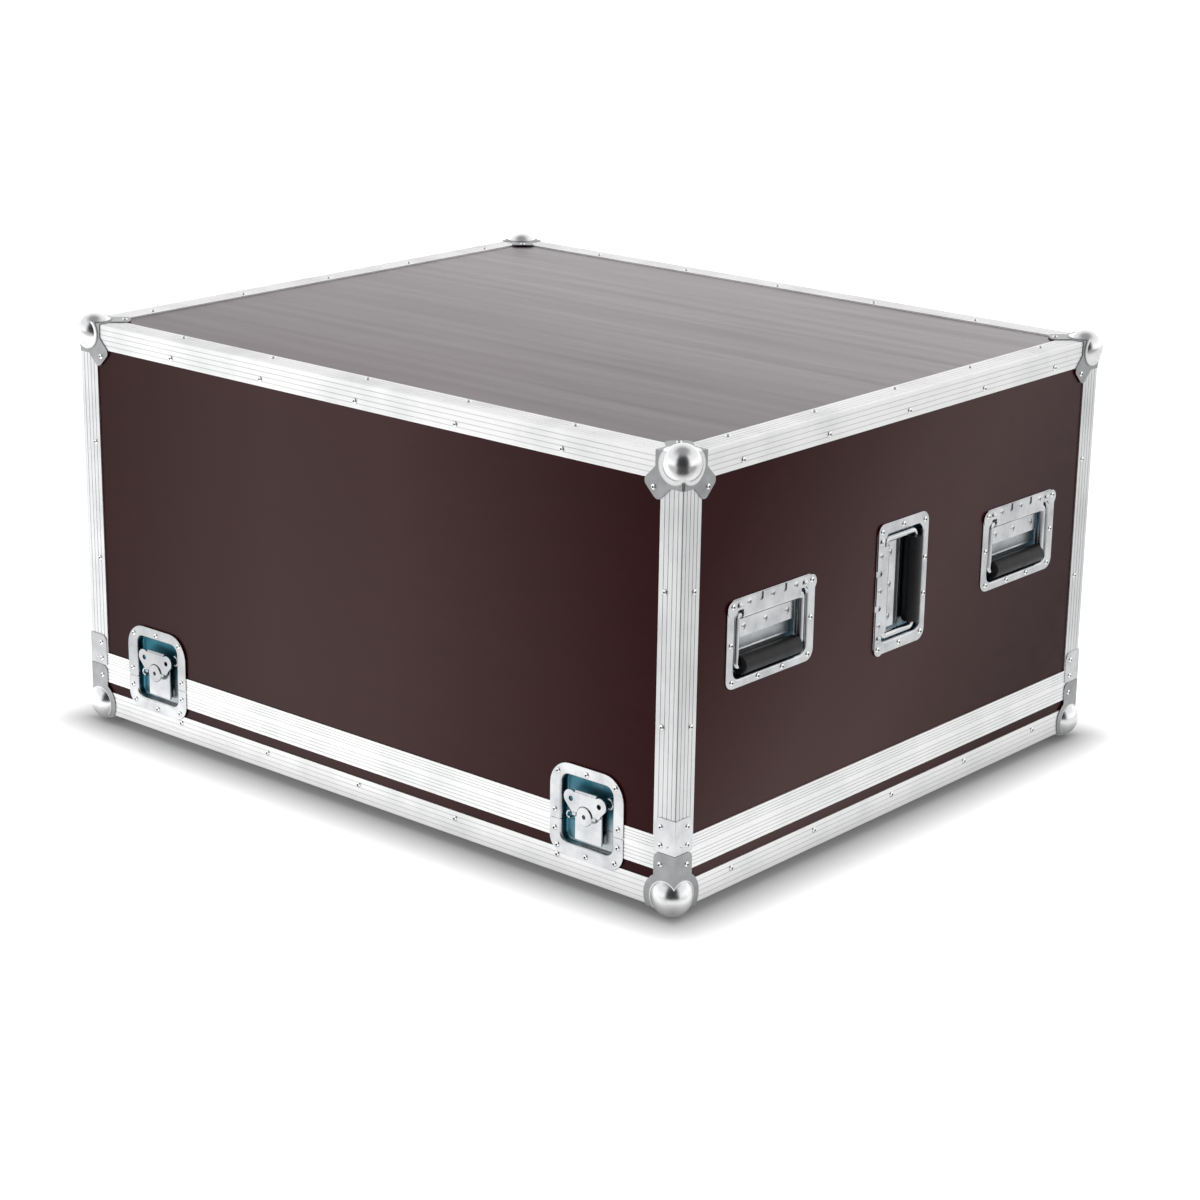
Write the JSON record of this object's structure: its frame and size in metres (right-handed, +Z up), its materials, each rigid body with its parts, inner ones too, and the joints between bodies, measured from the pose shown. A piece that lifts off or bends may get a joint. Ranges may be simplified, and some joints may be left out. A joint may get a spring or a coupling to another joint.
{
  "type": "flight case",
  "caption": "Road case with a lift-off hood on a shallow tray, aluminium edging, ball corners, butterfly latches and recessed handles.",
  "frame": {"origin": "on the floor under the middle of the case", "axes": "+X along the case's width, -Y towards the front, where the pictured latches are, +Z up"},
  "size_m": [0.9668, 0.817, 0.52],
  "materials": {
    "phenolic_ply": "satin film-faced plywood, dark maroon brown",
    "edge_aluminium": "mill finish with fine ribs",
    "zinc_steel": "bright zinc",
    "ball_steel": "polished",
    "rivet_aluminium": "bright",
    "wire_steel": "bright zinc",
    "rubber_grip": "matt black"
  },
  "bodies": {
    "base_tray": {"base_panel": "phenolic_ply", "tray_wall_front": "phenolic_ply", "tray_wall_back": "phenolic_ply", "tray_wall_left": "phenolic_ply", "tray_wall_right": "phenolic_ply", "base_angles": "edge_aluminium", "tray_rails": "edge_aluminium", "base_ball_corners": "ball_steel", "latch_keepers": "zinc_steel", "tray_rivets": "rivet_aluminium"},
    "hood": {"top_panel": "phenolic_ply", "hood_wall_front": "phenolic_ply", "hood_wall_back": "phenolic_ply", "hood_wall_left": "phenolic_ply", "hood_wall_right": "phenolic_ply", "top_angles": "edge_aluminium", "corner_angles": "edge_aluminium", "hood_rails": "edge_aluminium", "top_ball_corners": "ball_steel", "hood_corner_braces": "zinc_steel", "latch_dishes": "zinc_steel", "latch_staples": "wire_steel", "handle_hinge_plates": "zinc_steel", "hood_rivets": "rivet_aluminium", "handle_dish_right_front": "zinc_steel", "handle_dish_right_middle": "zinc_steel", "handle_dish_right_rear": "zinc_steel", "handle_dish_left_front": "zinc_steel", "handle_dish_left_middle": "zinc_steel", "handle_dish_left_rear": "zinc_steel"},
    "hub_front_left": {"latch_hub_front_left": "zinc_steel"},
    "wing_front_left": {"latch_wing_front_left": "zinc_steel"},
    "hook_front_left": {"latch_hook_front_left": "zinc_steel"},
    "hub_front_right": {"latch_hub_front_right": "zinc_steel"},
    "wing_front_right": {"latch_wing_front_right": "zinc_steel"},
    "hook_front_right": {"latch_hook_front_right": "zinc_steel"},
    "hub_back_left": {"latch_hub_back_left": "zinc_steel"},
    "wing_back_left": {"latch_wing_back_left": "zinc_steel"},
    "hook_back_left": {"latch_hook_back_left": "zinc_steel"},
    "hub_back_right": {"latch_hub_back_right": "zinc_steel"},
    "wing_back_right": {"latch_wing_back_right": "zinc_steel"},
    "hook_back_right": {"latch_hook_back_right": "zinc_steel"},
    "handle_right_front": {"handle_bail_right_front": "wire_steel", "handle_grip_right_front": "rubber_grip"},
    "handle_right_middle": {"handle_bail_right_middle": "wire_steel", "handle_grip_right_middle": "rubber_grip"},
    "handle_right_rear": {"handle_bail_right_rear": "wire_steel", "handle_grip_right_rear": "rubber_grip"},
    "handle_left_front": {"handle_bail_left_front": "wire_steel", "handle_grip_left_front": "rubber_grip"},
    "handle_left_middle": {"handle_bail_left_middle": "wire_steel", "handle_grip_left_middle": "rubber_grip"},
    "handle_left_rear": {"handle_bail_left_rear": "wire_steel", "handle_grip_left_rear": "rubber_grip"}
  },
  "joints": [
    {"name": "hood_lift", "type": "slide", "parent": "base_tray", "child": "hood", "axis": [0, 0, 1], "range_m": [0, 0.45]},
    {"name": "turn_front_left", "type": "hinge", "parent": "hood", "child": "hub_front_left", "pos_m": [-0.35, -0.398, 0.0875], "axis": [0, -1, 0], "range_deg": [0, 180]},
    {"name": "fold_front_left", "type": "hinge", "parent": "hub_front_left", "child": "wing_front_left", "pos_m": [-0.35, -0.4008, 0.0875], "axis": [1, 0, 0], "range_deg": [0, 90]},
    {"name": "draw_front_left", "type": "slide", "parent": "hood", "child": "hook_front_left", "axis": [0, 0, 1], "range_m": [-0.004, 0]},
    {"name": "turn_front_right", "type": "hinge", "parent": "hood", "child": "hub_front_right", "pos_m": [0.35, -0.398, 0.0875], "axis": [0, -1, 0], "range_deg": [0, 180]},
    {"name": "fold_front_right", "type": "hinge", "parent": "hub_front_right", "child": "wing_front_right", "pos_m": [0.35, -0.4008, 0.0875], "axis": [1, 0, 0], "range_deg": [0, 90]},
    {"name": "draw_front_right", "type": "slide", "parent": "hood", "child": "hook_front_right", "axis": [0, 0, 1], "range_m": [-0.004, 0]},
    {"name": "turn_back_left", "type": "hinge", "parent": "hood", "child": "hub_back_left", "pos_m": [-0.35, 0.398, 0.0875], "axis": [0, 1, 0], "range_deg": [0, 180]},
    {"name": "fold_back_left", "type": "hinge", "parent": "hub_back_left", "child": "wing_back_left", "pos_m": [-0.35, 0.4008, 0.0875], "axis": [-1, 0, 0], "range_deg": [0, 90]},
    {"name": "draw_back_left", "type": "slide", "parent": "hood", "child": "hook_back_left", "axis": [0, 0, 1], "range_m": [-0.004, 0]},
    {"name": "turn_back_right", "type": "hinge", "parent": "hood", "child": "hub_back_right", "pos_m": [0.35, 0.398, 0.0875], "axis": [0, 1, 0], "range_deg": [0, 180]},
    {"name": "fold_back_right", "type": "hinge", "parent": "hub_back_right", "child": "wing_back_right", "pos_m": [0.35, 0.4008, 0.0875], "axis": [-1, 0, 0], "range_deg": [0, 90]},
    {"name": "draw_back_right", "type": "slide", "parent": "hood", "child": "hook_back_right", "axis": [0, 0, 1], "range_m": [-0.004, 0]},
    {"name": "swing_right_front", "type": "hinge", "parent": "hood", "child": "handle_right_front", "pos_m": [0.4687, -0.242, 0.318], "axis": [0, -1, 0], "range_deg": [0, 90], "stiffness_Nm_per_rad": 0.15, "springref_deg": -17.19},
    {"name": "swing_right_middle", "type": "hinge", "parent": "hood", "child": "handle_right_middle", "pos_m": [0.4687, -0.03, 0.288], "axis": [0, 0, -1], "range_deg": [0, 90], "stiffness_Nm_per_rad": 0.15, "springref_deg": -17.19},
    {"name": "swing_right_rear", "type": "hinge", "parent": "hood", "child": "handle_right_rear", "pos_m": [0.4687, 0.242, 0.318], "axis": [0, -1, 0], "range_deg": [0, 90], "stiffness_Nm_per_rad": 0.15, "springref_deg": -17.19},
    {"name": "swing_left_front", "type": "hinge", "parent": "hood", "child": "handle_left_front", "pos_m": [-0.4687, -0.242, 0.318], "axis": [0, 1, 0], "range_deg": [0, 90], "stiffness_Nm_per_rad": 0.15, "springref_deg": -17.19},
    {"name": "swing_left_middle", "type": "hinge", "parent": "hood", "child": "handle_left_middle", "pos_m": [-0.4687, -0.03, 0.288], "axis": [0, 0, 1], "range_deg": [0, 90], "stiffness_Nm_per_rad": 0.15, "springref_deg": -17.19},
    {"name": "swing_left_rear", "type": "hinge", "parent": "hood", "child": "handle_left_rear", "pos_m": [-0.4687, 0.242, 0.318], "axis": [0, 1, 0], "range_deg": [0, 90], "stiffness_Nm_per_rad": 0.15, "springref_deg": -17.19}
  ],
  "couplings": [
    {"joint": "turn_front_left", "follows": "draw_front_left", "rad_per_m": -785},
    {"joint": "turn_front_right", "follows": "draw_front_right", "rad_per_m": -785},
    {"joint": "turn_back_left", "follows": "draw_back_left", "rad_per_m": -785},
    {"joint": "turn_back_right", "follows": "draw_back_right", "rad_per_m": -785}
  ]
}
